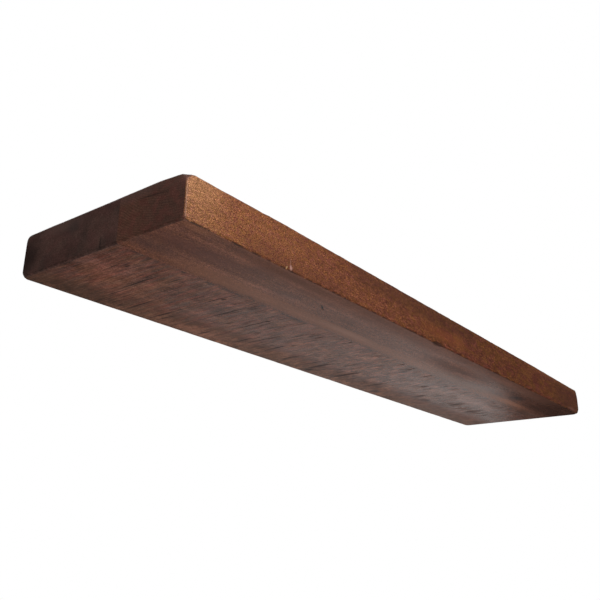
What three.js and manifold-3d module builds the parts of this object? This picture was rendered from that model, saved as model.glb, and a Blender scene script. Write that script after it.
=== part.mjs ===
// A floating wall shelf: two solid boards glued edge to edge, hung on a hidden steel bracket.
//
// Units are millimetres. The wall is the plane y = 0 and the room is on its -Y side, so +Y points into the
// wall. +X runs along the shelf, to the right for someone who faces the wall, and +Z is up. The origin is
// the middle of the bracket's back face, which is also the middle of the shelf's back edge.
import * as THREE from 'three';
import { RoundedBoxGeometry } from 'three/addons/geometries/RoundedBoxGeometry.js';
import { mergeVertices } from 'three/addons/utils/BufferGeometryUtils.js';
import Module from 'manifold-3d';

const wasm = await Module();
wasm.setup();

// The shelf as it is seen: its outer sizes, the glue line and the round-over on every outer edge.
const shelf = {
  length: 900,
  depth: 200,
  thickness: 40,
  frontBoardWidth: 74,
  edgeRadius: 2,
};

// The flat steel bar against the wall.
const plate = {
  length: 780,
  height: 28,
  thickness: 6,
  cornerRadius: 3,
};

// The round steel rods that carry the boards. Each sits in a shallow seat in the bar, has a tapped hole in
// its end and stops frontCover behind the shelf's front edge. The outer rods stand endInset in from the
// bar's ends.
const rod = {
  count: 4,
  diameter: 12,
  frontCover: 45,
  edgeChamfer: 1.5,
  seatDepth: 1,
  tappedDepth: 20,
  endInset: 60,
};

// The countersunk machine screws that hold the rods, put in from the back of the bar.
const rodScrew = {
  diameter: 6,
  coreDiameter: 4.8,
  headDiameter: 11.6,
  headRim: 0.4,
  headSink: 0.2,
  length: 20,
  threadPitch: 1,
  socketDiameter: 4.6,
  socketDepth: 2.2,
};

// The countersunk holes for the screws that hold the bar on the wall, one beside each rod.
const wallHole = {
  diameter: 6.5,
  sinkDiameter: 13,
  sinkRim: 0.5,
  offset: 40,
};

// The named clearances between pieces that pass through, sit in or slide over each other.
const clearance = {
  pocketEnd: 3,
  pocketEdge: 1,
  pocketFloor: 0.5,
  bore: 0.3,
  boreEnd: 5,
  rodSeat: 0.3,
  screwSeat: 0.3,
  tappedHole: 0.3,
};

// How far a cutting shape runs past the face that it cuts.
const overrun = 4;

// The steps round a whole turn, and the steps of a rounded edge.
const steps = { bore: 24, rod: 24, screw: 12, socket: 6, edge: 3, corner: 4 };

const RIGHT_ANGLE = Math.PI / 2;

// Solids: closed meshes that can be cut and joined.

function solidFrom(geometry) {
  const bare = geometry.clone();
  bare.deleteAttribute('normal');
  bare.deleteAttribute('uv');
  const merged = mergeVertices(bare);
  const index = merged.index.array;
  const kept = [];
  for (let i = 0; i < index.length; i += 3) {
    const [a, b, c] = [index[i], index[i + 1], index[i + 2]];
    if (a !== b && b !== c && c !== a) kept.push(a, b, c);
  }
  return new wasm.Manifold(new wasm.Mesh({
    numProp: 3,
    vertProperties: new Float32Array(merged.attributes.position.array),
    triVerts: new Uint32Array(kept),
  }));
}

function geometryFrom(solid) {
  const mesh = solid.getMesh();
  const geometry = new THREE.BufferGeometry();
  geometry.setAttribute('position', new THREE.BufferAttribute(new Float32Array(mesh.vertProperties), 3));
  geometry.setIndex(new THREE.BufferAttribute(new Uint32Array(mesh.triVerts), 1));
  const flat = geometry.toNonIndexed();
  flat.computeVertexNormals();
  return flat;
}

// A box between two corners.
function block(low, high) {
  const size = high.map((value, axis) => value - low[axis]);
  const middle = high.map((value, axis) => (value + low[axis]) / 2);
  return solidFrom(new THREE.BoxGeometry(...size).translate(...middle));
}

// A solid turned round the Y axis from [radius, y] points that run from the lowest y to the highest, moved
// along X to where it stands.
function turned(points, sides, x) {
  const profile = points.map(([radius, y]) => new THREE.Vector2(radius, y));
  return solidFrom(new THREE.LatheGeometry(profile, sides).translate(x, 0, 0));
}

// A round bar or hole of one radius.
function round(radius, yFront, yBack, sides, x) {
  return turned([[0, yFront], [radius, yFront], [radius, yBack], [0, yBack]], sides, x);
}

// A flat slab with round corners in the XZ plane, with its front at yFront and its back at yBack.
function slab(length, height, radius, yFront, yBack) {
  const [right, top] = [length / 2, height / 2];
  const outline = new THREE.Shape();
  outline.moveTo(right, radius - top);
  outline.lineTo(right, top - radius);
  outline.absarc(right - radius, top - radius, radius, 0, RIGHT_ANGLE, false);
  outline.absarc(radius - right, top - radius, radius, RIGHT_ANGLE, 2 * RIGHT_ANGLE, false);
  outline.absarc(radius - right, radius - top, radius, 2 * RIGHT_ANGLE, 3 * RIGHT_ANGLE, false);
  outline.absarc(right - radius, radius - top, radius, 3 * RIGHT_ANGLE, 4 * RIGHT_ANGLE, false);
  const extruded = new THREE.ExtrudeGeometry(outline, {
    depth: yBack - yFront,
    bevelEnabled: false,
    curveSegments: steps.corner,
  });
  return solidFrom(extruded.rotateX(RIGHT_ANGLE).translate(0, yBack, 0));
}

// Where things are along the shelf and out from the wall.

const plateFront = -plate.thickness;
const pocketFloor = plateFront - clearance.pocketFloor;
const rodBase = plateFront + rod.seatDepth;
const rodTip = rod.frontCover - shelf.depth;
const glueLine = shelf.frontBoardWidth - shelf.depth;
const screwHeadBack = -rodScrew.headSink;
const screwHeadSlope = (rodScrew.headDiameter - rodScrew.diameter) / 2;
const screwTip = screwHeadBack - rodScrew.length;

const rodSpan = plate.length - 2 * rod.endInset;
const rodPlaces = Array.from({ length: rod.count }, (_, i) => i * rodSpan / (rod.count - 1) - rodSpan / 2);
const wallHolePlaces = rodPlaces.map((x) => (x < 0 ? x - wallHole.offset : x + wallHole.offset));

// The hidden bracket.

function rodSolid(x) {
  const radius = rod.diameter / 2;
  const tapRadius = rodScrew.diameter / 2 + clearance.tappedHole;
  const solid = turned([
    [0, rodTip],
    [radius - rod.edgeChamfer, rodTip],
    [radius, rodTip + rod.edgeChamfer],
    [radius, rodBase],
    [0, rodBase],
  ], steps.rod, x);
  return solid.subtract(round(tapRadius, rodBase - rod.tappedDepth, rodBase + overrun, steps.bore, x));
}

// The hole that a rod's screw passes through: its head's outline grown by the seat's clearance.
function screwSeatSolid(x) {
  const shankRadius = rodScrew.diameter / 2 + clearance.screwSeat;
  const headRadius = rodScrew.headDiameter / 2 + clearance.screwSeat;
  const rimFront = screwHeadBack - rodScrew.headRim;
  return turned([
    [0, plateFront - overrun],
    [shankRadius, plateFront - overrun],
    [shankRadius, rimFront - screwHeadSlope],
    [headRadius, rimFront],
    [headRadius, overrun],
    [0, overrun],
  ], steps.bore, x);
}

function wallHoleSolid(x) {
  const [holeRadius, sinkRadius] = [wallHole.diameter / 2, wallHole.sinkDiameter / 2];
  const rimBack = plateFront + wallHole.sinkRim;
  return turned([
    [0, plateFront - overrun],
    [sinkRadius, plateFront - overrun],
    [sinkRadius, rimBack],
    [holeRadius, rimBack + sinkRadius - holeRadius],
    [holeRadius, overrun],
    [0, overrun],
  ], steps.bore, x);
}

function wallPlateSolid() {
  const seatRadius = rod.diameter / 2 + clearance.rodSeat;
  let solid = slab(plate.length, plate.height, plate.cornerRadius, plateFront, 0);
  for (const x of rodPlaces) {
    solid = solid.subtract(round(seatRadius, plateFront - overrun, rodBase, steps.bore, x));
    solid = solid.subtract(screwSeatSolid(x));
  }
  for (const x of wallHolePlaces) solid = solid.subtract(wallHoleSolid(x));
  return solid;
}

function rodScrewSolid(x) {
  const [outer, core] = [rodScrew.diameter / 2, rodScrew.coreDiameter / 2];
  const headRadius = rodScrew.headDiameter / 2;
  const rimFront = screwHeadBack - rodScrew.headRim;
  const threadBack = rimFront - screwHeadSlope;
  const turns = Math.floor((threadBack - screwTip) / rodScrew.threadPitch);
  const points = [[0, screwTip], [core, screwTip]];
  for (let i = turns; i > 0; i--) {
    points.push([outer, threadBack - (i - 0.5) * rodScrew.threadPitch]);
    points.push([core, threadBack - (i - 1) * rodScrew.threadPitch]);
  }
  points.push([outer, threadBack], [headRadius, rimFront], [headRadius, screwHeadBack], [0, screwHeadBack]);
  const socket = round(
    rodScrew.socketDiameter / 2, screwHeadBack - rodScrew.socketDepth, overrun, steps.socket, x,
  );
  return turned(points, steps.screw, x).subtract(socket);
}

// The boards: one rounded slab of wood, parted at the glue line, with the bores and the pocket cut in.

function wholeShelfSolid() {
  const geometry = new RoundedBoxGeometry(
    shelf.length, shelf.depth, shelf.thickness, steps.edge, shelf.edgeRadius,
  );
  return solidFrom(geometry.translate(0, -shelf.depth / 2, 0));
}

function pocketSolid() {
  return slab(
    plate.length + 2 * clearance.pocketEnd,
    plate.height + 2 * clearance.pocketEdge,
    plate.cornerRadius + clearance.pocketEdge,
    pocketFloor,
    overrun,
  );
}

function hollowedBoard(yFront, yBack) {
  const [right, top] = [shelf.length, shelf.thickness];
  const boreRadius = rod.diameter / 2 + clearance.bore;
  let solid = wholeShelfSolid().intersect(block([-right, yFront, -top], [right, yBack, top]));
  solid = solid.subtract(pocketSolid());
  for (const x of rodPlaces) {
    solid = solid.subtract(round(boreRadius, rodTip - clearance.boreEnd, overrun, steps.bore, x));
  }
  return solid;
}

// Materials.

const finish = (color, roughness, metalness) => new THREE.MeshStandardMaterial({ color, roughness, metalness });
const frontWood = finish(0x7a4a30, 0.55, 0);
const rearWood = finish(0x5c3a2c, 0.6, 0);
const bracketSteel = finish(0x2b2c2e, 0.5, 0.6);
const rodSteel = finish(0x9c9fa3, 0.35, 1);
const screwSteel = finish(0xb4b6b8, 0.3, 1);

// The assembly.

function piece(name, solid, material) {
  const mesh = new THREE.Mesh(geometryFrom(solid), material);
  mesh.name = name;
  return mesh;
}

const boards = new THREE.Group();
boards.add(piece('front_board', hollowedBoard(-shelf.depth - overrun, glueLine), frontWood));
boards.add(piece('rear_board', hollowedBoard(glueLine, overrun), rearWood));

const bracket = new THREE.Group();
bracket.add(piece('wall_plate', wallPlateSolid(), bracketSteel));
rodPlaces.forEach((x, i) => {
  bracket.add(piece(`support_rod_${i + 1}`, rodSolid(x), rodSteel));
  bracket.add(piece(`rod_screw_${i + 1}`, rodScrewSolid(x), screwSteel));
});

const model = new THREE.Group();
model.add(boards, bracket);

export default model;
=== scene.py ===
import math

import bmesh
import bpy
import numpy as np
from mathutils import Matrix, Vector, noise


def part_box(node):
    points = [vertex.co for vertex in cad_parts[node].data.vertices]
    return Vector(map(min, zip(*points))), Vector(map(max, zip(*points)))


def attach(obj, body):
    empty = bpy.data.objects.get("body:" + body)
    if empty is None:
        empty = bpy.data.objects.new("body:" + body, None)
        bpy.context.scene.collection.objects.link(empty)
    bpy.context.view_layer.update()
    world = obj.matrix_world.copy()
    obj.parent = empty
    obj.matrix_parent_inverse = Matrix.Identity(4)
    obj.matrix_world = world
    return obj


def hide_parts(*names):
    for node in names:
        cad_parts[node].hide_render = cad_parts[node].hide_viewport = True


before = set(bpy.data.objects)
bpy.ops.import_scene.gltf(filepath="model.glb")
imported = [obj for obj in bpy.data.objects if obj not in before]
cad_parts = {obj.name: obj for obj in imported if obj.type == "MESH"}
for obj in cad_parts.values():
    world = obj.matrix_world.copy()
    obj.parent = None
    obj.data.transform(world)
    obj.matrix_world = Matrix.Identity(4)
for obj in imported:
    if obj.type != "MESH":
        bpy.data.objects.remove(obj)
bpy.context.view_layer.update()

MM = 0.001


def mm(*values):
    """Lengths in millimetres, as metres."""
    return tuple(value * MM for value in values)


def span(*nodes):
    """The lowest and highest corner of the box round some CAD nodes."""
    boxes = [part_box(node) for node in nodes]
    low = np.min([list(box[0]) for box in boxes], axis=0)
    high = np.max([list(box[1]) for box in boxes], axis=0)
    return low, high


def numbered(stem):
    """The CAD nodes stem_1, stem_2 and so on, in order."""
    found = [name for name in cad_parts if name.startswith(stem + "_")]
    return sorted(found, key=lambda name: int(name.rsplit("_", 1)[1]))


def placed(name, data):
    """A new object in the scene, with its data under the same name."""
    data.name = name
    made = bpy.data.objects.new(name, data)
    bpy.context.scene.collection.objects.link(made)
    return made


# Places and sizes from the frame.
SHELF_LOW, SHELF_HIGH = span("front_board", "rear_board")
LEFT, FRONT, BOTTOM = SHELF_LOW
RIGHT, BACK, TOP = SHELF_HIGH
GLUE_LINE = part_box("front_board")[1].y
PLATE_LOW, PLATE_HIGH = span("wall_plate")
RODS = numbered("support_rod")
ROD_SCREWS = numbered("rod_screw")

# Sizes that the frame's boxes can't give.
EDGE_RADIUS = 2 * MM
POCKET_END = 3 * MM
POCKET_EDGE = 1 * MM
POCKET_FLOOR = 0.5 * MM
PLATE_CORNER = 3 * MM
BORE_PLAY = 0.3 * MM
BORE_END = 5 * MM
WALL_HOLE_OFFSET = 40 * MM
OVERRUN = 4 * MM

# Steps round a turned piece, a hole, a screw and a slab's corner.
ROUND_STEPS = 64
HOLE_STEPS = 48
SCREW_STEPS = 48
CORNER_STEPS = 8


# Camera. Its place and aim were worked out from the shelf's corners and edges in the photograph.

CAMERA_PLACE = mm(-765.7, -541.9, -243.6)
CAMERA_AZIMUTH = math.radians(52.855)
CAMERA_RISE = math.radians(19.601)
CAMERA_ROLL = math.radians(-0.534)
PHOTO_WIDTH_PX = 600
FOCAL_LENGTH_PX = 718.4
SENSOR_WIDTH_MM = 36
CLIP_RANGE = (0.01, 100)


def make_camera():
    data = bpy.data.cameras.new("camera")
    data.sensor_width = SENSOR_WIDTH_MM
    data.lens = FOCAL_LENGTH_PX / PHOTO_WIDTH_PX * SENSOR_WIDTH_MM
    data.clip_start, data.clip_end = CLIP_RANGE
    camera = placed("camera", data)
    aim = Vector((
        math.sin(CAMERA_AZIMUTH) * math.cos(CAMERA_RISE),
        math.cos(CAMERA_AZIMUTH) * math.cos(CAMERA_RISE),
        math.sin(CAMERA_RISE),
    ))
    turned = aim.to_track_quat("-Z", "Y").to_matrix().to_4x4() @ Matrix.Rotation(-CAMERA_ROLL, 4, "Z")
    camera.matrix_world = Matrix.Translation(CAMERA_PLACE) @ turned
    bpy.context.scene.camera = camera


make_camera()


# Places on the shelf are often given as the photograph shows them: along from the left end and in from
# the front edge, both in millimetres.

def along(millimetres):
    return LEFT + millimetres * MM


def inward(millimetres):
    return FRONT + millimetres * MM


def under(from_left, from_front):
    """A place on the underside."""
    return (along(from_left), inward(from_front), BOTTOM)


# Marks on the wood that have a shape of their own, as (centre, radii, depth). All are in metres.

CHIP = ((along(124), FRONT, BOTTOM + 5 * MM), mm(1.6, 3, 5), 0.5 * MM)
CHIP_NICK = ((along(118), FRONT, BOTTOM + 1 * MM), mm(2.2, 3, 1.6), 0.7 * MM)
GOUGE = ((along(393), FRONT, BOTTOM), mm(15, 4, 3.4), 1.1 * MM)
EASED_TOP = (
    ((LEFT, FRONT, TOP), mm(110, 30, 14), 1.2 * MM),
    ((RIGHT, FRONT, TOP), mm(190, 30, 14), 0.9 * MM),
)
END_CHECK = ((LEFT, BACK - 105 * MM, BOTTOM + 5 * MM), mm(4, 0.9, 6.5), 0.5 * MM)
SCRATCH_START = under(209, 30)
SCRATCH_END = under(220, 36)
SCRATCH_RADIUS = 0.7 * MM
SCRATCH_DEPTH = 0.35 * MM

# Where the boards' grids are finer, for those marks.
FRONT_MARK_ZONES = (
    (along(114), along(128)),
    (along(207), along(222)),
    (along(376), along(410)),
)
SCRATCH_ZONE = (inward(28), inward(38))
END_CHECK_ZONE = (BACK - 109 * MM, BACK - 101 * MM)


# Meshes

def new_piece(name, mesh, body):
    piece = placed(name, mesh)
    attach(piece, body)
    return piece


def mesh_from(points, faces):
    mesh = bpy.data.meshes.new("mesh")
    mesh.from_pydata([tuple(p) for p in points], [], [tuple(f) for f in faces])
    mesh.validate()
    mesh.update()
    return mesh


def smooth(mesh, degrees):
    mesh.polygons.foreach_set("use_smooth", [True] * len(mesh.polygons))
    mesh.set_sharp_from_angle(angle=math.radians(degrees))
    mesh.update()


def cut(piece, cutters):
    """Takes the cutters' solids out of the piece for good."""
    for cutter in cutters:
        modifier = piece.modifiers.new("cut", "BOOLEAN")
        modifier.operation = "DIFFERENCE"
        modifier.solver = "MANIFOLD"
        modifier.object = cutter
    evaluated = piece.evaluated_get(bpy.context.evaluated_depsgraph_get())
    finished = bpy.data.meshes.new_from_object(evaluated)
    piece.modifiers.clear()
    piece.data = finished
    for cutter in cutters:
        bpy.data.objects.remove(cutter)


def lathe_mesh(profile, x, z, segments=ROUND_STEPS, helix=None):
    """A closed solid turned round an axis along Y at x, z, from (radius, y) points that start and end on it.

    helix(angle, y) adds to the radius of every point that isn't on the axis."""
    points, faces = [], []
    rings = []
    for radius, y in profile:
        if radius == 0:
            rings.append([len(points)])
            points.append((x, y, z))
            continue
        ring = []
        for step in range(segments):
            angle = 2 * math.pi * step / segments
            r = radius + (helix(angle, y) if helix else 0)
            ring.append(len(points))
            points.append((x + r * math.cos(angle), y, z + r * math.sin(angle)))
        rings.append(ring)
    for first, second in zip(rings, rings[1:]):
        for step in range(segments):
            after = (step + 1) % segments
            if len(first) == 1:
                faces.append((first[0], second[after], second[step]))
            elif len(second) == 1:
                faces.append((first[step], first[after], second[0]))
            else:
                faces.append((first[step], first[after], second[after], second[step]))
    mesh = mesh_from(points, faces)
    made = bmesh.new()
    made.from_mesh(mesh)
    bmesh.ops.recalc_face_normals(made, faces=made.faces)
    made.to_mesh(mesh)
    made.free()
    return mesh


def turned_size(node):
    """Where a turned CAD node starts and ends along Y, the x and z of its axis, and its radius."""
    low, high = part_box(node)
    return low.y, high.y, (low.x + high.x) / 2, (low.z + high.z) / 2, (high.x - low.x) / 2


def drill(profile, x, z, segments=HOLE_STEPS):
    """A turned solid to cut away."""
    return placed("drill", lathe_mesh(profile, x, z, segments))


def round_slab_mesh(low, high, radius):
    """A slab with its corners rounded in the XZ plane."""
    middle = [(low[axis] + high[axis]) / 2 for axis in range(3)]
    half = [(high[axis] - low[axis]) / 2 for axis in range(3)]
    outline = []
    for quarter in range(4):
        sign_x = 1 if quarter in (0, 3) else -1
        sign_z = 1 if quarter in (0, 1) else -1
        for step in range(CORNER_STEPS + 1):
            angle = (quarter + step / CORNER_STEPS) * math.pi / 2
            outline.append((
                middle[0] + sign_x * (half[0] - radius) + radius * math.cos(angle),
                middle[2] + sign_z * (half[2] - radius) + radius * math.sin(angle),
            ))
    count = len(outline)
    points = [(x, low[1], z) for x, z in outline] + [(x, high[1], z) for x, z in outline]
    faces = [list(range(count)), list(range(2 * count - 1, count - 1, -1))]
    for step in range(count):
        after = (step + 1) % count
        faces.append([step, step + count, after + count, after])
    return mesh_from(points, faces)


# The boards: a fine grid wrapped round each board, rounded at its outer edges, worn and marked.

STEP_TOLERANCE = 0.001


def grid_lines(stops):
    """Grid lines through all stops, each (place, step): from a place on, they are at most its step apart."""
    lines = [stops[0][0]]
    for (place, step), (after, _) in zip(stops, stops[1:]):
        count = max(1, math.ceil((after - place) / step - STEP_TOLERANCE))
        lines += [place + (after - place) * (k + 1) / count for k in range(count)]
    return lines


def shell_grid(lines):
    """Points and quads of a box's surface, with a grid line at each given x, y and z."""
    counts = [len(line) for line in lines]
    index, quads = {}, []
    for axis in range(3):
        u, v = (axis + 1) % 3, (axis + 2) % 3
        for side in (0, counts[axis] - 1):
            for i in range(counts[u] - 1):
                for j in range(counts[v] - 1):
                    ring = [(i, j), (i + 1, j), (i + 1, j + 1), (i, j + 1)]
                    if side == 0:
                        ring.reverse()
                    quad = []
                    for a, b in ring:
                        key = [0, 0, 0]
                        key[axis], key[u], key[v] = side, a, b
                        quad.append(index.setdefault(tuple(key), len(index)))
                    quads.append(quad)
    points = np.array([[lines[axis][key[axis]] for axis in range(3)] for key in index])
    return points, quads


def rounded(points, low, high, glue_side):
    """Moves a box's surface points onto its rounded form. Gives the points, their outward directions and
    how far round an edge each lies, from 0 on a flat face to 1 in the middle of an edge's curve."""
    inner_low, inner_high = low + EDGE_RADIUS, high - EDGE_RADIUS
    if glue_side == "back":
        inner_high[1] = high[1]
    else:
        inner_low[1] = low[1]
    core = np.clip(points, inner_low, inner_high)
    offset = points - core
    reach = np.abs(offset)
    furthest = reach.max(axis=1)
    length = np.linalg.norm(offset, axis=1)
    safe = np.where(length > 0, length, 1)
    outward = offset / safe[:, None]
    edge_share = np.sort(reach, axis=1)[:, 1] / np.where(furthest > 0, furthest, 1)
    return core + outward * furthest[:, None], outward, edge_share


def dent(points, centre, radii, depth):
    """How deep an ellipsoidal dent is at each point."""
    distance = np.linalg.norm((points - np.array(centre)) / np.array(radii), axis=1)
    return depth * np.clip(1 - distance**2, 0, 1) ** 1.5


def groove(points, start, end, radius, depth):
    """How deep a straight scratch is at each point."""
    start, end = np.array(start), np.array(end)
    way = end - start
    share = np.clip((points - start) @ way / (way @ way), 0, 1)
    distance = np.linalg.norm(points - start - share[:, None] * way, axis=1)
    return depth * np.clip(1 - (distance / radius) ** 2, 0, 1)


def noise_at(points, sizes, shift):
    """Smooth noise from -1 to 1 with features of the given sizes, from a place of its own for each shift."""
    return np.array([
        noise.noise(Vector((p[0] / sizes[0] + shift, p[1] / sizes[1] + shift, p[2] / sizes[2] - shift)))
        for p in points
    ])


CORNER_ZONE = 10 * MM
CORNER_START = 23 * MM
SOFT_CORNER_START = 19.5 * MM
CORNER_SOFTNESS = 2 * MM
SOFT_CORNERS = ((-1, -1, 1), (1, -1, -1))
ARRIS_WEAR = 0.35 * MM
LONG_WEAR_SIZE = mm(14, 60, 60)
SHORT_WEAR_SIZE = (14 * MM / 3, 20 * MM, 20 * MM)
WEAR_SHARE = 0.25
LONG_WEAR_SHARE = 0.9
SHORT_WEAR_SHARE = 0.5
MOST_WEAR_SHARE = 1.4
FACE_WAVE = 0.08 * MM
FACE_WAVE_SIZE = mm(70, 70, 70)
DING_SEED = 7
DING_COUNT = 46
DING_RADIUS = mm(1.2, 4.2)
DING_STRETCH = (1, 2.5)
DING_DEPTH = mm(0.1, 0.4)


def corner_easing(points):
    """How far each point near one of the shelf's eight corners is sanded off, straight in from the corner.

    At the front, the upper left and the lower right corner are rounder than the others."""
    middle, half = (SHELF_LOW + SHELF_HIGH) / 2, (SHELF_HIGH - SHELF_LOW) / 2
    side = np.sign(points - middle)
    inside = np.clip(np.abs(points - middle) - (half - CORNER_ZONE), 0, None)
    soft = np.any([(side == corner).all(axis=1) for corner in SOFT_CORNERS], axis=0)
    start = np.where(soft, SOFT_CORNER_START, CORNER_START)
    past = np.clip(inside.sum(axis=1) - start, 0, None) / math.sqrt(3)
    depth = past**2 / (past + CORNER_SOFTNESS)
    return -side * depth[:, None] / math.sqrt(3)


def edge_dings():
    """Small knocks along the long edges, the same on each run."""
    draw = np.random.default_rng(DING_SEED)
    dings = []
    for _ in range(DING_COUNT):
        centre = (draw.uniform(LEFT, RIGHT), draw.choice([FRONT, BACK]), draw.choice([BOTTOM, TOP]))
        radius = draw.uniform(*DING_RADIUS)
        length = radius * draw.uniform(*DING_STRETCH)
        dings.append((centre, (length, radius, radius), draw.uniform(*DING_DEPTH)))
    return dings


def worn(points, outward, edge_share):
    """Sinks the surface where it is worn, knocked, chipped or scratched."""
    wear = WEAR_SHARE + LONG_WEAR_SHARE * noise_at(points, LONG_WEAR_SIZE, shift=3.1)
    wear += SHORT_WEAR_SHARE * noise_at(points, SHORT_WEAR_SIZE, shift=8.7)
    sink = ARRIS_WEAR * np.clip(wear, 0, MOST_WEAR_SHARE) * edge_share
    sink += FACE_WAVE * (0.5 + 0.5 * noise_at(points, FACE_WAVE_SIZE, shift=5.3))
    for mark in [CHIP, CHIP_NICK, GOUGE, END_CHECK, *EASED_TOP, *edge_dings()]:
        sink += dent(points, *mark)
    sink += groove(points, SCRATCH_START, SCRATCH_END, SCRATCH_RADIUS, SCRATCH_DEPTH)
    return points - outward * sink[:, None] + corner_easing(points)


GRID_STEP = 3.5 * MM
EDGE_STEP = 0.34 * MM
FINE_STEP = 0.8 * MM


def long_lines(marks):
    """Grid lines along the shelf, finer at both ends and at the marks, each (from, to)."""
    stops = [(LEFT, EDGE_STEP), (LEFT + EDGE_RADIUS, GRID_STEP)]
    for start, end in sorted(marks):
        stops += [(start, FINE_STEP), (end, GRID_STEP)]
    return grid_lines(stops + [(RIGHT - EDGE_RADIUS, EDGE_STEP), (RIGHT, 0)])


def board_mesh(low, high, glue_side, marks, fine_y):
    """A board between two corners, with a fine grid at the marks along it and at fine_y across it."""
    low, high = np.array(low, float), np.array(high, float)
    zone = 2 * EDGE_RADIUS
    if glue_side == "back":
        ys = [(low[1], EDGE_STEP), (low[1] + EDGE_RADIUS, EDGE_STEP * 2), (low[1] + zone, GRID_STEP)]
        ys += [(fine_y[0], FINE_STEP), (fine_y[1], GRID_STEP), (high[1], 0)]
    else:
        ys = [(low[1], GRID_STEP), (fine_y[0], FINE_STEP / 2), (fine_y[1], GRID_STEP)]
        ys += [(high[1] - zone, EDGE_STEP * 2), (high[1] - EDGE_RADIUS, EDGE_STEP), (high[1], 0)]
    zs = [
        (low[2], EDGE_STEP), (low[2] + EDGE_RADIUS, EDGE_STEP * 2), (low[2] + 4 * EDGE_RADIUS, GRID_STEP),
        (high[2] - zone, EDGE_STEP * 2), (high[2] - EDGE_RADIUS, EDGE_STEP), (high[2], 0),
    ]
    points, quads = shell_grid([long_lines(marks), grid_lines(ys), grid_lines(zs)])
    flat, outward, edge_share = rounded(points, low, high, glue_side)
    return mesh_from(worn(flat, outward, edge_share), quads)


def bore_cutters():
    """The bores for the rods, as solids to cut away, from their blind ends to past the pocket's floor."""
    made = []
    for rod in RODS:
        tip, _, x, z, rod_radius = turned_size(rod)
        radius = rod_radius + BORE_PLAY
        start, end = tip - BORE_END, BACK + OVERRUN
        made.append(drill([(0, start - radius / 3), (radius, start), (radius, end), (0, end)], x, z))
    return made


def pocket_cutter():
    low = PLATE_LOW - np.array([POCKET_END, POCKET_FLOOR, POCKET_EDGE])
    high = PLATE_HIGH + np.array([POCKET_END, OVERRUN, POCKET_EDGE])
    return placed("pocket_cutter", round_slab_mesh(low, high, PLATE_CORNER + POCKET_EDGE))


def make_boards():
    front = new_piece("front_board_detail", board_mesh(
        SHELF_LOW, (RIGHT, GLUE_LINE, TOP), "back", FRONT_MARK_ZONES, SCRATCH_ZONE,
    ), "shelf")
    rear = new_piece("rear_board_detail", board_mesh(
        (LEFT, GLUE_LINE, BOTTOM), SHELF_HIGH, "front", (), END_CHECK_ZONE,
    ), "shelf")
    cut(front, bore_cutters())
    cut(rear, [*bore_cutters(), pocket_cutter()])
    for piece, node in ((front, "front_board"), (rear, "rear_board")):
        smooth(piece.data, degrees=35)
        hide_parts(node)
    return front, rear


# The hidden bracket: the bar with its holes, the rods and their screws.

ROD_SEAT_PLAY = 0.3 * MM
SCREW_SEAT_PLAY = 0.3 * MM
SCREW_RADIUS = 3 * MM
SCREW_HEAD_RIM = 0.4 * MM
WALL_HOLE_RADIUS = 3.25 * MM
WALL_HOLE_SINK_RADIUS = 6.5 * MM
WALL_HOLE_RIM = 0.5 * MM
BAR_EDGE = 0.5 * MM
BAR_EDGE_STEPS = 3
BAR_EDGE_ANGLE = math.radians(60)
TAPPED_DEPTH = 20 * MM
TAPPED_RIM = 0.5 * MM
ROD_CHAMFER = 1.5 * MM
ROD_RIM = 0.3 * MM
ROD_SOFTNESS = 0.1 * MM
ROD_LENGTH_STEPS = 30


def bar_cutters():
    """The seats for the rods and their screws, and the holes for wall screws."""
    front, back = PLATE_LOW[1] - OVERRUN, PLATE_HIGH[1] + OVERRUN
    sink = PLATE_LOW[1] + WALL_HOLE_RIM
    wall_hole = [(0, front), (WALL_HOLE_SINK_RADIUS, front), (WALL_HOLE_SINK_RADIUS, sink),
                 (WALL_HOLE_RADIUS, sink + WALL_HOLE_SINK_RADIUS - WALL_HOLE_RADIUS),
                 (WALL_HOLE_RADIUS, back), (0, back)]
    made = []
    for rod, screw in zip(RODS, ROD_SCREWS):
        _, rod_end, x, _, rod_radius = turned_size(rod)
        _, screw_end, _, _, head_radius = turned_size(screw)
        seat, shank = rod_radius + ROD_SEAT_PLAY, SCREW_RADIUS + SCREW_SEAT_PLAY
        head, rim = head_radius + SCREW_SEAT_PLAY, screw_end - SCREW_HEAD_RIM
        rod_seat = [(0, front), (seat, front), (seat, rod_end), (0, rod_end)]
        screw_seat = [(0, front), (shank, front), (shank, rim - (head - shank)), (head, rim),
                      (head, back), (0, back)]
        hole_x = x + math.copysign(WALL_HOLE_OFFSET, x)
        made += [drill(rod_seat, x, 0), drill(screw_seat, x, 0), drill(wall_hole, hole_x, 0)]
    return made


def make_bar():
    mesh = round_slab_mesh(PLATE_LOW, PLATE_HIGH, PLATE_CORNER)
    made = bmesh.new()
    made.from_mesh(mesh)
    rims = [edge for edge in made.edges if edge.calc_face_angle(0) > BAR_EDGE_ANGLE]
    bmesh.ops.bevel(made, geom=rims, offset=BAR_EDGE, segments=BAR_EDGE_STEPS, profile=0.5, affect="EDGES")
    made.to_mesh(mesh)
    made.free()
    bar = new_piece("wall_bar", mesh, "bracket")
    cut(bar, bar_cutters())
    smooth(bar.data, degrees=35)
    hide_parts("wall_plate")
    return bar


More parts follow.
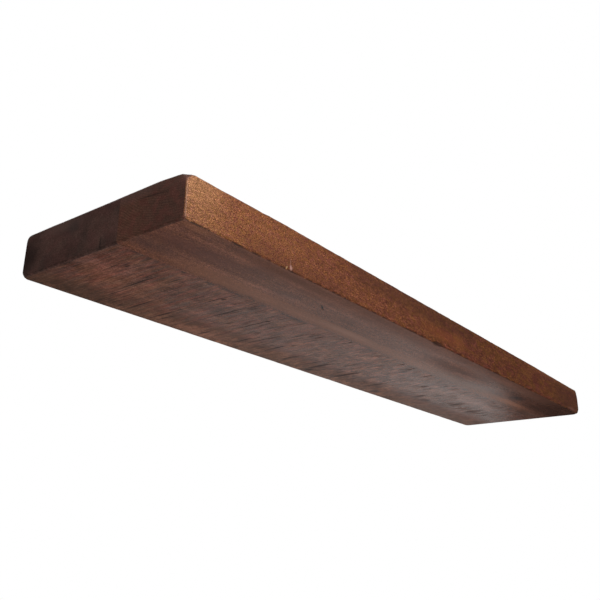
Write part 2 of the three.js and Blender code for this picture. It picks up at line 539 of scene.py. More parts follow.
def make_rod(node):
    tip, back, x, z, radius = turned_size(node)
    tap = SCREW_RADIUS + SCREW_SEAT_PLAY
    start, end = tip + ROD_CHAMFER, back - ROD_RIM
    profile = [
        (0, tip),
        (radius - ROD_CHAMFER - ROD_RIM, tip),
        (radius - ROD_CHAMFER, tip + ROD_SOFTNESS),
        (radius - ROD_SOFTNESS, start - ROD_SOFTNESS),
    ]
    for k in range(ROD_LENGTH_STEPS + 1):
        profile.append((radius, start + (end - start) * k / ROD_LENGTH_STEPS))
    profile += [
        (radius - ROD_RIM, back),
        (tap + TAPPED_RIM, back),
        (tap, back - TAPPED_RIM),
        (tap, back - TAPPED_DEPTH),
        (0, back - TAPPED_DEPTH - tap / 2),
    ]
    rod = new_piece(node + "_turned", lathe_mesh(profile, x, z), "bracket")
    smooth(rod.data, degrees=25)
    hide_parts(node)
    return rod


THREAD_PITCH = 1 * MM
THREAD_DEPTH = 0.6 * MM
THREAD_RUN_OUT = 1.2 * MM
TURN_STEPS = 6
HEAD_RIM_BEVEL = 0.15 * MM
HEAD_RIM_SOFTNESS = mm(0.1, 0.05)
SOCKET_RADIUS = 2.3 * MM
SOCKET_DEPTH = 2.2 * MM
SOCKET_SIDES = 6


def make_rod_screw(node):
    tip, back, x, z, head = turned_size(node)
    rim = back - SCREW_HEAD_RIM
    neck = rim - (head - SCREW_RADIUS)

    def thread(angle, y):
        if not tip < y < neck:
            return 0.0
        fade = min(1.0, (y - tip) / THREAD_RUN_OUT, (neck - y) / THREAD_RUN_OUT)
        turn = ((y - tip) / THREAD_PITCH - angle / (2 * math.pi)) % 1
        return -THREAD_DEPTH * fade * abs(2 * turn - 1)

    steps = round((neck - tip) / THREAD_PITCH * TURN_STEPS)
    profile = [(0, tip), (SCREW_RADIUS - THREAD_DEPTH, tip)]
    profile += [(SCREW_RADIUS, tip + (neck - tip) * k / steps) for k in range(1, steps + 1)]
    profile += [(head - HEAD_RIM_SOFTNESS[0], rim - HEAD_RIM_SOFTNESS[1]), (head, rim)]
    profile += [(head, back - HEAD_RIM_BEVEL), (head - HEAD_RIM_BEVEL, back), (0, back)]
    mesh = lathe_mesh(profile, x, z, SCREW_STEPS, helix=thread)
    screw = new_piece(node + "_cut", mesh, "bracket")
    bottom, past = back - SOCKET_DEPTH, back + OVERRUN
    socket = [(0, bottom - SOCKET_RADIUS / 3), (SOCKET_RADIUS, bottom), (SOCKET_RADIUS, past), (0, past)]
    cut(screw, [drill(socket, x, z, SOCKET_SIDES)])
    smooth(screw.data, degrees=30)
    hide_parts(node)
    return screw


# Materials. A small maker of shader nodes, so that each layer of a material is one line.

def srgb(red, green, blue):
    """A colour given as 0 to 255 on screen, as the linear colour that shaders take."""
    def linear(value):
        share = value / 255
        return share / 12.92 if share <= 0.04045 else ((share + 0.055) / 1.055) ** 2.4
    return (linear(red), linear(green), linear(blue), 1.0)


class Nodes:
    """A node tree, with short names for making and joining its nodes."""

    def __init__(self, tree):
        self.tree = tree

    def node(self, kind, *given, **settings):
        """A new node with these settings, and with the given values in its first sockets."""
        made = self.tree.nodes.new(kind)
        for name, value in settings.items():
            setattr(made, name, value)
        for socket, value in enumerate(given):
            self.set(made, socket, value)
        return made

    def set(self, node, socket, value):
        """Sets a socket to a number or colour, or links it to another node's output."""
        found = node.inputs[socket]
        if isinstance(value, bpy.types.NodeSocket):
            self.tree.links.new(value, found)
        else:
            found.default_value = value

    def math(self, operation, *given, **settings):
        return self.node("ShaderNodeMath", *given, operation=operation, **settings).outputs[0]

    def vector(self, operation, *given):
        """What the operation makes of the given vectors. A length or dot product comes as a number."""
        made = self.node("ShaderNodeVectorMath", *given, operation=operation)
        return made.outputs["Value" if operation in ("LENGTH", "DOT_PRODUCT") else "Vector"]

    def times(self, a, b):
        return self.math("MULTIPLY", a, b)

    def plus(self, a, b):
        return self.math("ADD", a, b)

    def minus(self, a, b):
        return self.math("SUBTRACT", a, b)

    def larger(self, a, b):
        return self.math("MAXIMUM", a, b)


# How far a seed moves noise along X, Y and Z, as a share of its sizes.
SEED_SHIFTS = (7.3, 3.1, 5.7)
MOST_DARKENING = 0.9
VARIED_SATURATION = 0.91
DARKEST = (0.003, 0.003, 0.003)


class Shader(Nodes):
    """A material, which finished() gives once its colour, roughness and normal are known."""

    def __init__(self, name, metallic=0.0, specular=0.5):
        self.material = bpy.data.materials.new(name)
        self.material.use_nodes = True
        super().__init__(self.material.node_tree)
        self.surface = self.tree.nodes["Principled BSDF"]
        self.set(self.surface, "Metallic", metallic)
        self.set(self.surface, "Specular IOR Level", specular)
        self.place = self.node("ShaderNodeTexCoord").outputs["Object"]
        self.normal = self.node("ShaderNodeTexCoord").outputs["Normal"]

    def axis(self, which, vector=None):
        split = self.node("ShaderNodeSeparateXYZ", vector or self.place)
        return split.outputs["XYZ".index(which)]

    def step(self, value, low, high, to_low=0.0, to_high=1.0, kind="SMOOTHSTEP"):
        """A smooth step from to_low at low to to_high at high."""
        given = (value, low, high, to_low, to_high)
        return self.node("ShaderNodeMapRange", *given, interpolation_type=kind, clamp=True).outputs[0]

    def fall(self, value, low, high):
        """A smooth step from 1 at low to 0 at high."""
        return self.step(value, low, high, to_low=1.0, to_high=0.0)

    def straight(self, value, low, high, to_low, to_high):
        """A straight ramp in place of a smooth step."""
        return self.step(value, low, high, to_low, to_high, kind="LINEAR")

    def band(self, value, low, high, soft):
        """1 between low and high, falling to 0 over soft on each side."""
        return self.times(self.step(value, low - soft, low), self.fall(value, high, high + soft))

    def framed(self, sizes, centre, turn, vector=None):
        """Coordinates with their middle at centre, turned, and in units of sizes."""
        given = (vector or self.place, centre, [math.radians(a) for a in turn], sizes)
        return self.node("ShaderNodeMapping", *given, vector_type="TEXTURE").outputs[0]

    def noise(self, sizes, seed, detail=2.0, rough=0.5, warp=0.0, turn=(0, 0, 0)):
        """Noise from 0 to 1 with features of about the given sizes."""
        made = self.node("ShaderNodeTexNoise", noise_dimensions="3D")
        shift = [seed * size * share for size, share in zip(sizes, SEED_SHIFTS)]
        self.set(made, "Vector", self.framed(sizes, shift, turn))
        self.set(made, "Scale", 1.0)
        self.set(made, "Detail", detail)
        self.set(made, "Roughness", rough)
        self.set(made, "Distortion", warp)
        return made.outputs["Fac"]

    def spot(self, centre, radii, turn=(0, 0, 0), soft=0.6, vector=None):
        """1 inside an ellipsoid, falling to 0 at its rim over the outer soft share of it."""
        length = self.vector("LENGTH", self.framed(radii, centre, turn, vector))
        return self.fall(length, 1 - soft, 1.0)

    def mix(self, share, first, second):
        made = self.node("ShaderNodeMix", data_type="RGBA", blend_type="MIX", clamp_result=False)
        self.set(made, "Factor", share)
        self.set(made, 6, first)
        self.set(made, 7, second)
        return made.outputs[2]

    def tint(self, colour, where, share, stain):
        """The colour, with a share of the stain in it where where is 1."""
        return self.mix(self.times(where, share), colour, srgb(*stain))

    def mark(self, colour, centre, radii, share, stain, soft=0.9, turn=(0, 0, 0)):
        """The colour, with a soft-edged spot of the stain in it."""
        return self.tint(colour, self.spot(centre, radii, turn, soft), share, stain)

    def varied(self, colour, *layers):
        """The colour, made brighter and darker by (noise, strength) layers, with less change of hue than of
        light. Near zero the change is exponential, so that it looks as strong upward as downward."""
        change = 0.0
        for layer, strength in layers:
            change = self.plus(change, self.times(self.minus(layer, 0.5), strength))
        change = self.larger(change, -MOST_DARKENING)
        change = self.times(change, self.plus(self.times(change, 0.5), 1.0))
        duller = self.node("ShaderNodeHueSaturation")
        self.set(duller, "Saturation", VARIED_SATURATION)
        self.set(duller, "Color", colour)
        changed = self.vector("MULTIPLY_ADD", duller.outputs[0], change, colour)
        return self.vector("MAXIMUM", changed, DARKEST)

    def bump(self, height, distance, strength=1.0, base=None):
        made = self.node("ShaderNodeBump")
        self.set(made, "Height", height)
        self.set(made, "Distance", distance)
        self.set(made, "Strength", strength)
        if base is not None:
            self.set(made, "Normal", base)
        return made.outputs[0]

    def finished(self, colour, roughness, normal=None):
        self.set(self.surface, "Base Color", colour)
        self.set(self.surface, "Roughness", roughness)
        if normal is not None:
            self.set(self.surface, "Normal", normal)
        return self.material


# The noise layers of each board, as name: (sizes in millimetres, seed, detail, roughness, warp, turn). What
# a row leaves out is as Shader.noise has it.
FRONT_LAYERS = {
    "tone": ((190, 40, 24), 1, 3, 0.55, 0.4),
    "bands": ((160, 12, 9), 2, 2, 0.5, 0.3),
    "grain": ((26, 1.6, 1.5), 3, 3, 0.6, 0.2),
    "fibre": ((3, 0.6, 0.6), 4, 2, 0.6),
    "cloud": ((22, 9, 5), 5, 3, 0.55, 0.3),
    "mottle": ((14, 9, 7), 6, 3, 0.55, 0.5),
    "stroke": ((2.4, 0.6, 0.45), 7, 1, 0.6, 0, (0, 11, 0)),
    "speck": ((0.6, 0.5, 0.5), 8, 0),
    "glint": ((0.8, 0.6, 0.5), 10, 1),
    "hue": ((4, 2, 1.6), 24, 3, 0.75, 0, (0, 11, 0)),
    "flake": ((5, 1.6, 1.3), 25, 3, 0.7, 0, (0, 11, 0)),
    "blush": ((18, 7, 5), 29, 3, 0.7, 0, (0, 8, 0)),
}
REAR_LAYERS = {
    "tone": ((70, 40, 30), 11, 4, 0.6, 0.5),
    "patch": ((4, 32, 18), 12, 3, 0.55, 0.1),
    "rose": ((7, 32, 18), 13, 3, 0.55, 0.1),
    "fine": ((1, 16, 9), 14, 2, 0.6, 0.1),
    "line": ((2.2, 26, 14), 15, 3, 0.6, 0.15),
    "cluster": ((50, 34, 30), 16),
    "cloud": ((26, 14, 12), 17, 2, 0.6),
    "speck": ((0.9, 1.2, 0.9), 19, 1),
    "smudge": ((20, 30, 30), 20, 3),
    "broad": ((11, 20, 14), 21, 3, 0.6),
    "flake": ((4, 6, 4), 26, 3, 0.7),
    "scratch": ((45, 0.9, 1), 27, 1, 0.5, 0, (0, 0, -3)),
    "hair": ((1.5, 24, 12), 28, 1),
}

# Marks on the boards, as (centre, radii in millimetres, share, colour, softness, turn). Share is how much
# of the colour shows at the middle. What a row leaves out is as Shader.mark has it.
FRONT_STAINS = (
    (under(45, 34), (90, 17, 9), 0.6, (80, 44, 36)), (under(12, 54), (60, 17, 9), 0.6, (62, 38, 34)),
    (under(18, 5), (26, 8, 9), 0.35, (150, 96, 66)), (under(110, 20), (28, 13, 9), 0.4, (60, 38, 34)),
    (under(565, 62), (140, 22, 9), 0.3, (62, 40, 34)), (under(722, 37), (34, 13, 9), 0.75, (40, 34, 34)),
    (under(745, 57), (75, 12, 9), 0.65, (150, 98, 74)), (under(170, 40), (26, 10, 9), 0.4, (60, 46, 44)),
    (under(300, 59), (70, 8, 9), 0.35, (146, 104, 86)), (under(862, 66), (50, 9, 9), 0.35, (124, 92, 80)),
)
FRONT_EDGE_MARKS = (
    ((along(447), FRONT, -2 * MM), (24, 4, 12), 0.4, (140, 84, 46)),
    ((along(410), FRONT, -7 * MM), (90, 4, 12), 0.4, (140, 74, 40)),
    ((along(862), FRONT, BOTTOM + 3 * MM), (26, 3, 3.5), 0.4, (140, 100, 88)),
)
FRONT_SCARS = (
    ((along(393), FRONT + 2 * MM, BOTTOM + 1 * MM), (16, 3.4, 3.2), 0.7, (34, 21, 18), 0.5),
    (under(214.5, 33), (7.5, 1.3, 3), 0.9, (22, 15, 14), 0.5, (0, 0, 29)),
    ((along(117.6), FRONT, BOTTOM + 1.6 * MM), (1.3, 4, 1.6), 0.5, (205, 170, 120), 0.6),
)
FRONT_END_MARKS = (
    ((LEFT, BACK - 145 * MM, TOP - 3 * MM), (9, 46, 9), 0.4, (98, 80, 76)),
    ((LEFT, BACK - 164 * MM, 9.5 * MM), (5, 27, 1.1), 0.6, (40, 25, 22), 0.9, (5, 0, 0)),
)
REAR_STAINS = (
    (under(66, 148), (64, 34, 9), 0.3, (146, 94, 72)), (under(205, 186), (80, 18, 9), 0.4, (146, 94, 72)),
    (under(26, 112), (56, 30, 9), 0.35, (142, 90, 78)), (under(482, 164), (30, 18, 9), 0.45, (50, 36, 33)),
    (under(690, 103), (190, 20, 9), 0.3, (158, 122, 110)),
)
REAR_END_MARKS = (
    ((LEFT, BACK - 2 * MM, -2 * MM), (9, 30, 22), 0.75, (36, 22, 18), 0.8),
    ((LEFT, BACK - 54 * MM, TOP - 5 * MM), (9, 48, 10), 0.6, (106, 80, 72), 0.9, (3, 0, 0)),
    ((LEFT, BACK - 68 * MM, TOP - 10 * MM), (9, 13, 10), 0.4, (58, 46, 46)),
    ((LEFT, BACK - 106.3 * MM, BOTTOM + 5 * MM), (6, 1, 6.5), 0.55, (30, 20, 18), 0.6),
)


# Streaks across the underside, as (along, in from the front edge, half length, half width), in millimetres.
STREAKS = (
    (67, 122, 40, 0.9), (107, 170, 26, 0.9), (139, 102, 18, 0.9), (140, 172, 23, 1), (149, 176, 20, 0.7),
    (173, 117, 37, 0.9), (217, 120, 38, 0.9), (217, 103, 4, 1.6), (254, 168, 22, 1.2), (265, 147, 36, 0.9),
    (295, 93, 10, 1.2), (300, 160, 24, 1.2), (330, 74, 8, 1.5), (342, 168, 24, 1.3), (395, 165, 30, 2.2),
    (378, 160, 18, 1.2), (448, 78, 10, 1.6), (453, 165, 34, 3), (475, 80, 15, 1.5), (520, 78, 18, 1.8),
    (524, 165, 28, 3.2), (36, 103, 5, 0.9), (573, 112, 9, 4.5), (655, 156, 12, 8), (625, 150, 18, 5),
    (712, 130, 20, 5), (780, 132, 22, 5), (208, 184, 14, 1.1), (142, 94, 4, 1.5), (165, 104, 4, 1.2),
    (387, 71, 5, 2.2), (290, 172, 14, 1), (560, 185, 12, 7), (402, 186, 12, 3),
)
STREAK_SOFT_RIM = 1.7
STREAK_HEIGHT = 4
STREAK_WAVER = 1.1 * MM


class Wood(Shader):
    """A board's material. It holds the noise layers of its table under their names, and a place's distances
    in millimetres: along from the left end, inward from the front edge, up from the underside, from_back."""

    def __init__(self, name, layers):
        super().__init__(name, specular=0.16)
        for layer, (sizes, *rest) in layers.items():
            setattr(self, layer, self.noise(mm(*sizes), *rest))
        x, y, z = [self.math("DIVIDE", self.axis(which), MM) for which in "XYZ"]
        self.along = self.minus(x, LEFT / MM)
        self.inward = self.minus(y, FRONT / MM)
        self.from_back = self.minus(BACK / MM, y)
        self.up = self.minus(z, BOTTOM / MM)
        self.facing_end = self.math("ABSOLUTE", self.axis("X", self.normal))

    def marked(self, colour, marks):
        """The colour with the marks of a table in it, one over the other."""
        for centre, radii, *rest in marks:
            colour = self.mark(colour, centre, mm(*radii), *rest)
        return colour

    def rings(self, centre, spacing, drift_turns, seed):
        """Growth rings round a line along X through centre: 0 in early wood, up to 1 in a thin late line."""
        drift = self.noise(mm(420, 60, 60), seed)
        small = self.noise(mm(90, 14, 14), seed + 1)
        y = self.minus(self.axis("Y"), centre[0])
        z = self.minus(self.axis("Z"), centre[1])
        distance = self.math("SQRT", self.plus(self.times(y, y), self.times(z, z)))
        turns = self.plus(self.math("DIVIDE", distance, spacing), self.times(drift, drift_turns))
        phase = self.math("FRACT", self.plus(turns, self.times(small, drift_turns * 0.15)))
        return self.times(self.step(phase, 0.2, 0.85), self.fall(phase, 0.88, 1.0))

    def end_grain(self):
        """1 on the sawn ends and on the dark arrises above and below them, but not on the front ones."""
        round_arris = self.times(self.step(self.facing_end, 0.12, 0.4), self.step(self.inward, 1.2, 2.6))
        return self.larger(self.step(self.facing_end, 0.9, 0.98), round_arris)

    def lower_arris_shade(self):
        """Painted shade in thin broken lines along the lower front and end arrises."""
        front = self.times(self.fall(self.inward, 1.4, 2.6), self.fall(self.up, 0.4, 1.4))
        end = self.times(self.fall(self.along, 1.2, 2.2), self.fall(self.up, 1.2, 2.4))
        broken = self.step(self.noise(mm(7, 5, 5), seed=51, detail=3.0, rough=0.65), 0.42, 0.58)
        return self.times(self.larger(front, self.times(end, 0.45)), broken)

    def streaks(self):
        """The long dark streaks on the underside, wavering a little along their length."""
        waver = self.noise(mm(20, 18, 20), seed=61)
        offset = self.node("ShaderNodeCombineXYZ")
        self.set(offset, "X", self.straight(waver, 0.2, 0.8, -STREAK_WAVER, STREAK_WAVER))
        shifted = self.vector("ADD", self.place, offset.outputs[0])
        total = 0.0
        for x, d, half_length, half_width in STREAKS:
            radii = mm(half_width * STREAK_SOFT_RIM, half_length, STREAK_HEIGHT)
            total = self.larger(total, self.spot(under(x, d), radii, soft=0.65, vector=shifted))
        return self.times(total, self.step(self.noise(mm(3, 12, 9), seed=62), 0.22, 0.4))


def front_edge(wood, colour, far):
    """The front edge: fine short strokes that slope down to the right, strongest at the left end."""
    hues = wood.mix(wood.step(wood.hue, 0.38, 0.62), srgb(101, 54, 2), srgb(86, 34, 28))
    colour = wood.mix(0.62, colour, hues)
    blushed = wood.mix(wood.step(wood.blush, 0.4, 0.6), srgb(103, 62, 18), srgb(94, 41, 36))
    colour = wood.mix(wood.times(far, 0.5), colour, blushed)
    # Painted highlight: a paler tan at the left end, stronger towards the top, for the key lamp's sheen.
    painted_highlight = wood.step(wood.along, 8, 56, 0.6, 0.0)
    colour = wood.tint(colour, painted_highlight, wood.step(wood.up, 4, 38, 0.35, 1.0), (148, 104, 70))
    middle = wood.step(wood.along, 60, 220)
    flaked = wood.plus(wood.plus(wood.times(middle, 2.2), wood.times(far, 1.4)), 0.4)
    colour = wood.varied(colour, (wood.stroke, 2.0), (wood.speck, 4.6), (wood.cloud, 0.5), (wood.grain, 0.6),
                         (wood.flake, flaked))
    # Painted highlight: bright glints of the key lamp in the grain, strongest near the left end.
    painted_glint_share = wood.step(wood.along, 15, 260, 0.45, 0.06)
    colour = wood.tint(colour, wood.step(wood.glint, 0.58, 0.7), painted_glint_share, (214, 166, 96))
    upper = wood.times(wood.step(wood.up, 15, 29), wood.band(wood.along, 240, 470, 40))
    colour = wood.tint(colour, upper, 0.4, (72, 42, 28))
    lower = wood.times(wood.fall(wood.up, 5, 16), wood.band(wood.along, 80, 190, 40))
    colour = wood.tint(colour, lower, 0.35, (78, 40, 24))
    # Painted shade: the front edge darker towards its far right end.
    colour = wood.tint(colour, wood.step(wood.along, 740, 830), 0.4, (70, 44, 38))
    upper = wood.times(wood.step(wood.up, 29, 38), wood.step(wood.along, 640, 740))
    colour = wood.tint(colour, upper, 0.35, (150, 92, 56))
    colour = wood.marked(colour, FRONT_EDGE_MARKS)
    # A pale rim on the rounded arrises where the front edge meets the ends: partly paler worn wood, partly a
    # painted highlight.
    return wood.tint(colour, wood.band(wood.facing_end, 0.55, 0.7, 0.12), 0.35, (166, 130, 118))


def front_underside(wood, colour, far, calm, painted_shade_spot, edge):
    """The underside of the front board: soft lengthwise grain and a paler strip beside the glue line."""
    colour = wood.tint(colour, wood.step(wood.along, 30, 150), 0.4, (82, 57, 46))
    colour = wood.tint(colour, wood.step(wood.hue, 0.4, 0.6), 0.35, (86, 46, 42))
    colour = wood.varied(colour, (wood.bands, 1.6), (wood.grain, 1.1), (wood.cloud, 0.7),
                         (wood.fibre, wood.times(calm, 2.4)), (wood.speck, wood.times(calm, 2.6)),
                         (wood.flake, wood.plus(wood.times(far, 3.0), 0.6)))
    strip = wood.band(wood.plus(wood.inward, wood.times(wood.mottle, 8)), 59, 72, 5)
    strip = wood.times(strip, wood.fall(wood.up, 0.6, 2.6))
    strip = wood.times(strip, wood.band(wood.along, 90, 780, 70))
    colour = wood.tint(colour, strip, 0.4, (128, 80, 54))
    colour = wood.marked(colour, FRONT_STAINS)
    # Painted shade: a darker patch on the underside, where it shows less sheen.
    colour = wood.tint(colour, painted_shade_spot, 0.2, (56, 34, 26))
    # Painted shade: a dark patch at the far front corner of the underside.
    colour = wood.mark(colour, under(900, 8), mm(250, 58, 12), 0.82, (56, 26, 12), soft=0.6)
    return wood.tint(colour, edge, 0.45, (88, 42, 12))


def front_end(wood):
    """The sawn end of the front board, with growth rings."""
    ring = wood.rings((FRONT - 5 * MM, 140 * MM), spacing=2 * MM, drift_turns=7, seed=9)
    clear = wood.step(wood.inward, 10, 60, 0.34, 0.48)
    clear = wood.times(clear, wood.step(wood.cloud, 0.35, 0.6, 0.6, 1.0))
    colour = wood.mix(wood.step(wood.inward, 20, 66), srgb(90, 60, 49), srgb(107, 70, 54))
    colour = wood.tint(colour, ring, clear, (46, 28, 25))
    colour = wood.tint(colour, wood.step(wood.mottle, 0.42, 0.6), 0.4, (107, 56, 48))
    colour = wood.varied(colour, (wood.speck, 1.5), (wood.cloud, 0.8))
    return wood.marked(colour, FRONT_END_MARKS)


def front_wood():
    wood = Wood("front_wood", FRONT_LAYERS)
    on_front = wood.fall(wood.inward, 0.6, 2.4)
    far = wood.step(wood.along, 110, 520)
    calm = wood.step(wood.along, 560, 760, 1.0, 0.35)
    painted_shade_spot = wood.spot(under(515, 32), mm(140, 30, 9), soft=0.9)
    edge = wood.times(wood.fall(wood.inward, 4, 34), wood.fall(wood.up, 0.6, 2.6))
    edge = wood.times(edge, wood.band(wood.along, 110, 760, 80))
    colour = wood.mix(wood.step(wood.tone, 0.4, 0.6), srgb(99, 58, 38), srgb(110, 66, 44))
    colour = wood.tint(colour, wood.step(wood.mottle, 0.42, 0.64), 0.4, (90, 52, 38))
    underside = front_underside(wood, colour, far, calm, painted_shade_spot, edge)
    colour = wood.mix(on_front, underside, front_edge(wood, colour, far))
    chip = wood.spot((along(123), FRONT, BOTTOM + 3 * MM), mm(2.6, 4, 3.6), soft=0.8)
    tail = wood.spot((along(122.4), FRONT, BOTTOM + 8 * MM), mm(0.8, 4, 5), soft=0.9)
    colour = wood.tint(colour, wood.larger(chip, wood.times(tail, 0.5)), 0.6, (190, 148, 138))
    colour = wood.marked(colour, FRONT_SCARS)
    sawn = wood.end_grain()
    colour = wood.mix(sawn, colour, front_end(wood))
    # Painted shade along the lower front and end arrises.
    colour = wood.tint(colour, wood.lower_arris_shade(), 0.85, (42, 22, 13))

    height = wood.times(wood.plus(wood.times(wood.fibre, 0.4), wood.times(wood.grain, 0.4)), calm)
    height = wood.plus(height, wood.times(wood.times(wood.stroke, on_front), 0.5))
    height = wood.times(height, wood.straight(sawn, 0.0, 1.0, 1.0, 0.4))
    matt = wood.larger(wood.times(wood.larger(edge, painted_shade_spot), 0.6), on_front)
    matt = wood.larger(matt, wood.times(sawn, 1.5))
    roughness = wood.plus(wood.straight(wood.tone, 0.35, 0.65, 0.19, 0.25), wood.times(matt, 0.3))
    return wood.finished(colour, roughness, wood.bump(height, 0.15 * MM, 0.6))


def rear_faces(wood, dull, dark):
    """The long faces of the rear board: mottled, with a figure and dark streaks across the grain."""
    far = wood.step(wood.along, 120, 600)
    calm = wood.step(wood.along, 460, 680, 1.0, 0.45)
    colour = wood.mix(wood.step(wood.tone, 0.4, 0.6), srgb(96, 60, 46), srgb(106, 67, 49))
    mottled = wood.step(wood.along, 60, 300, 0.55, 0.36)
    colour = wood.tint(colour, wood.step(wood.rose, 0.42, 0.62), mottled, (114, 59, 48))
    colour = wood.tint(colour, wood.step(wood.patch, 0.42, 0.62), mottled, (76, 58, 52))

    # A warm brown towards the back edge, dark at the left end.
    back = wood.fall(wood.from_back, 14, 50)
    colour = wood.tint(colour, back, 0.5, (108, 71, 48))
    colour = wood.tint(colour, back, wood.step(wood.along, 45, 120, 0.6, 0.1), (54, 35, 25))

    colour = wood.marked(colour, REAR_STAINS)
    colour = wood.varied(colour, (wood.cloud, 1.2), (wood.scratch, 0.8),
                         (wood.fine, wood.times(calm, 1.5)), (wood.speck, wood.times(calm, 1.8)),
                         (wood.line, wood.times(calm, wood.plus(wood.times(far, 2.8), 1.6))),
                         (wood.flake, wood.times(calm, wood.times(far, 3.6))),
                         (wood.broad, wood.times(calm, wood.plus(wood.times(far, 1.8), 0.8))))
    colour = wood.tint(colour, dull, 0.4, (50, 36, 32))
    colour = wood.tint(colour, dark, 0.88, (36, 20, 14))
    glue_line = (GLUE_LINE - FRONT) / MM
    behind_glue = wood.fall(wood.inward, glue_line + 1, glue_line + 5)
    return wood.tint(colour, wood.times(behind_glue, wood.step(wood.smudge, 0.5, 0.58)), 0.6, (40, 32, 32))


def rear_end(wood):
    """The sawn end of the rear board, with faint growth rings."""
    ring = wood.rings((BACK - 40 * MM, 300 * MM), spacing=2.2 * MM, drift_turns=8, seed=18)
    colour = wood.mix(wood.step(wood.patch, 0.44, 0.6), srgb(93, 65, 57), srgb(82, 59, 52))
    colour = wood.tint(colour, ring, 0.16, (50, 34, 30))
    colour = wood.tint(colour, wood.step(wood.broad, 0.4, 0.6), 0.4, (92, 55, 50))
    colour = wood.varied(colour, (wood.cloud, 0.5), (wood.speck, 1.3), (wood.tone, 0.9))
    return wood.marked(colour, REAR_END_MARKS)


def rear_wood():
    wood = Wood("rear_wood", REAR_LAYERS)
    dull = wood.times(wood.spot(under(760, 136), mm(110, 30, 9), soft=1.0), wood.step(wood.broad, 0.4, 0.6))
    spread = wood.times(wood.step(wood.hair, 0.58, 0.68), wood.step(wood.cluster, 0.38, 0.54))
    long_streaks = wood.times(wood.streaks(), wood.step(wood.along, 420, 620, 1.0, 0.6))
    dark = wood.larger(long_streaks, wood.times(spread, 0.8))
    sawn = wood.end_grain()
    colour = wood.mix(sawn, rear_faces(wood, dull, dark), rear_end(wood))
    # Painted shade along the lower front and end arrises.
    colour = wood.mix(wood.lower_arris_shade(), colour, srgb(36, 23, 19))

    height = wood.plus(wood.times(wood.fine, 0.4), wood.times(wood.line, 0.5))
    matt = wood.larger(wood.fall(wood.from_back, 26, 64), dull)
    matt = wood.larger(wood.larger(matt, wood.times(dark, 1.6)), wood.times(sawn, 2.2))
    roughness = wood.plus(wood.straight(wood.tone, 0.35, 0.65, 0.19, 0.25), wood.times(matt, 0.2))
    normal = wood.bump(height, 0.15 * MM, 0.6, base=wood.bump(wood.broad, 0.4 * MM))
    return wood.finished(colour, roughness, normal)


def bracket_steel():
    """Black powder coat: a fine orange peel with a dull sheen."""
    coat = Shader("bracket_steel")
    peel = coat.noise(mm(0.9, 0.9, 0.9), seed=21)
    cloud = coat.noise(mm(30, 8, 8), seed=22, detail=3.0)
    colour = coat.mix(cloud, srgb(38, 38, 40), srgb(54, 54, 56))
    return coat.finished(colour, coat.straight(cloud, 0.3, 0.7, 0.42, 0.56), coat.bump(peel, 0.05 * MM, 0.7))


def rod_steel():
    """Bright turned bar: fine rings round each rod and a few dull smears along it."""
    steel = Shader("rod_steel", metallic=1.0)
    turning = steel.noise(mm(40, 0.22, 40), seed=31, detail=3.0, rough=0.7)
    smear = steel.noise(mm(5, 28, 5), seed=32, detail=3.0)
    colour = steel.mix(smear, srgb(172, 174, 178), srgb(200, 201, 203))
    roughness = steel.straight(smear, 0.3, 0.7, 0.24, 0.42)
    return steel.finished(colour, roughness, steel.bump(turning, 0.03 * MM, 0.6))


def screw_steel():
    """Bright zinc plate, a little cloudy."""
    zinc = Shader("screw_steel", metallic=1.0)
    cloud = zinc.noise(mm(2.5, 2.5, 2.5), seed=41, detail=3.0)
    colour = zinc.mix(cloud, srgb(176, 182, 190), srgb(206, 208, 206))
    return zinc.finished(colour, zinc.straight(cloud, 0.3, 0.7, 0.26, 0.44))


def dress(pieces, material):
    for piece in pieces:
        piece.data.materials.clear()
        piece.data.materials.append(material)


front_board, rear_board = make_boards()
dress([front_board], front_wood())
dress([rear_board], rear_wood())
dress([make_bar()], bracket_steel())
dress([make_rod(node) for node in RODS], rod_steel())
dress([make_rod_screw(node) for node in ROD_SCREWS], screw_steel())


# Light, floor and background

FLOOR_HEIGHT = -1.5
FLOOR_RADIUS = 4.0
FLOOR_STEPS = 96
FADE_START_SHARE = 0.45
ROOM_LIGHT = 0.3
ROOM_GLOSS = 0.03

# What a gloss finds, as (direction, cosine at which it begins, cosine at which it is full). The backdrop
# has a wide and a narrow glow, each with its strength, and ends towards the room.
BACKDROP_WIDE, WIDE_STRENGTH = ((0.84, 0.48, -0.26), 0.92, 0.98), 0.41
BACKDROP_NARROW, NARROW_STRENGTH = ((0.88, 0.42, -0.21), 0.9945, 0.999), 0.2
BACKDROP_SIDE = ((-0.31, 0.95, 0), 0.044, 0.058)
CEILING = ((0, 0, 1), 0.5, 0.8)

# The lamps, as (name, place, what it is aimed at, width, watts). The lengths are in metres.
LAMPS = (
    ("key", (-0.50, -0.56, 0.12), (-0.42, -0.2, 0.0), 0.25, 1.5),
    ("front_fill", (0.5, -1.8, 0.3), (0.1, -0.2, 0.0), 1.2, 8),
    ("under_fill", (0.0, -0.3, -1.3), (0.0, -0.1, 0.0), 1.6, 7),
    ("top_fill", (0.1, 1.1, 1.4), (0.0, -0.1, 0.0), 1.4, 22),
)


def area_light(name, place, target, size, watts):
    data = bpy.data.lights.new(name, "AREA")
    data.shape = "DISK"
    data.size = size
    data.energy = watts
    lamp = placed(name, data)
    lamp.location = place
    lamp.rotation_euler = (Vector(target) - Vector(place)).to_track_quat("-Z", "Y").to_euler()
    lamp.visible_camera = False


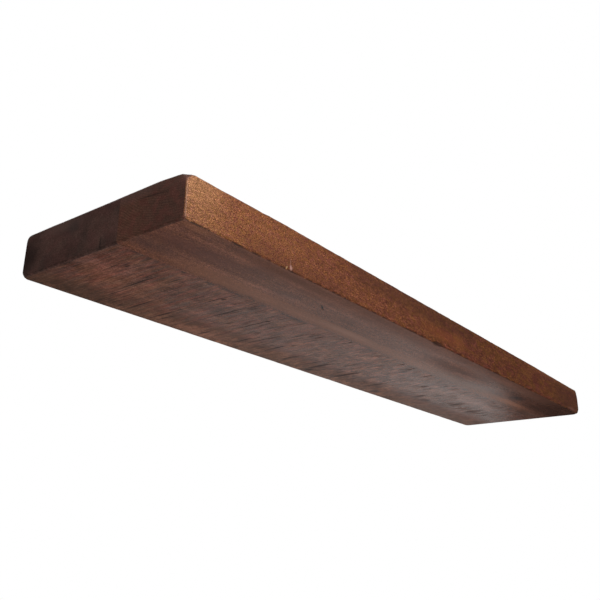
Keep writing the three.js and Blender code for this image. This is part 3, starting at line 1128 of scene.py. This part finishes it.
def make_world():
    """White where the camera or a glass looks, and a dimmer even light on the object. A gloss shows the
    white backdrop behind the shelf's far end, a white ceiling and the dark room round them."""
    world = bpy.data.worlds.new("world")
    bpy.context.scene.world = world
    world.use_nodes = True
    world.node_tree.nodes.clear()
    room = Nodes(world.node_tree)
    ray = room.node("ShaderNodeTexCoord").outputs["Generated"]

    def toward(direction, low, high):
        """0 to 1 as the ray turns towards a direction."""
        cosine = room.vector("DOT_PRODUCT", ray, Vector(direction).normalized())
        return room.math("DIVIDE", room.minus(cosine, low), high - low, use_clamp=True)

    path = room.node("ShaderNodeLightPath")
    glossy = path.outputs["Is Glossy Ray"]
    wide = room.times(toward(*BACKDROP_WIDE), WIDE_STRENGTH)
    narrow = room.times(toward(*BACKDROP_NARROW), NARROW_STRENGTH)
    shown = room.times(room.plus(wide, narrow), toward(*BACKDROP_SIDE))
    shown = room.larger(room.larger(shown, toward(*CEILING)), ROOM_GLOSS)
    even = room.times(room.minus(1.0, glossy), ROOM_LIGHT)
    white = room.larger(path.outputs["Is Camera Ray"], path.outputs["Is Transmission Ray"])
    strength = room.larger(room.plus(room.times(glossy, shown), even), white)
    background = room.node("ShaderNodeBackground")
    room.set(background, "Color", (1, 1, 1, 1))
    room.set(background, "Strength", strength)
    room.set(room.node("ShaderNodeOutputWorld"), "Surface", background.outputs[0])


def make_floor():
    """A pale disc far below the shelf that fades into the white background at its rim."""
    points = [(0, 0, FLOOR_HEIGHT)]
    for step in range(FLOOR_STEPS):
        angle = 2 * math.pi * step / FLOOR_STEPS
        points.append((FLOOR_RADIUS * math.cos(angle), FLOOR_RADIUS * math.sin(angle), FLOOR_HEIGHT))
    faces = [(0, 1 + step, 1 + (step + 1) % FLOOR_STEPS) for step in range(FLOOR_STEPS)]
    floor = placed("floor", mesh_from(points, faces))
    pale = Shader("floor", specular=0.0)
    distance = pale.vector("LENGTH", pale.place)
    fade = pale.step(distance, FLOOR_RADIUS * FADE_START_SHARE, FLOOR_RADIUS)
    clear = pale.node("ShaderNodeBsdfTransparent").outputs[0]
    mixed = pale.node("ShaderNodeMixShader", fade, pale.surface.outputs[0], clear)
    pale.set(pale.tree.nodes["Material Output"], "Surface", mixed.outputs[0])
    floor.data.materials.append(pale.finished(srgb(245, 245, 245), 0.9))


make_world()
make_floor()
for settings in LAMPS:
    area_light(*settings)

bpy.context.scene.view_settings.view_transform = "Standard"
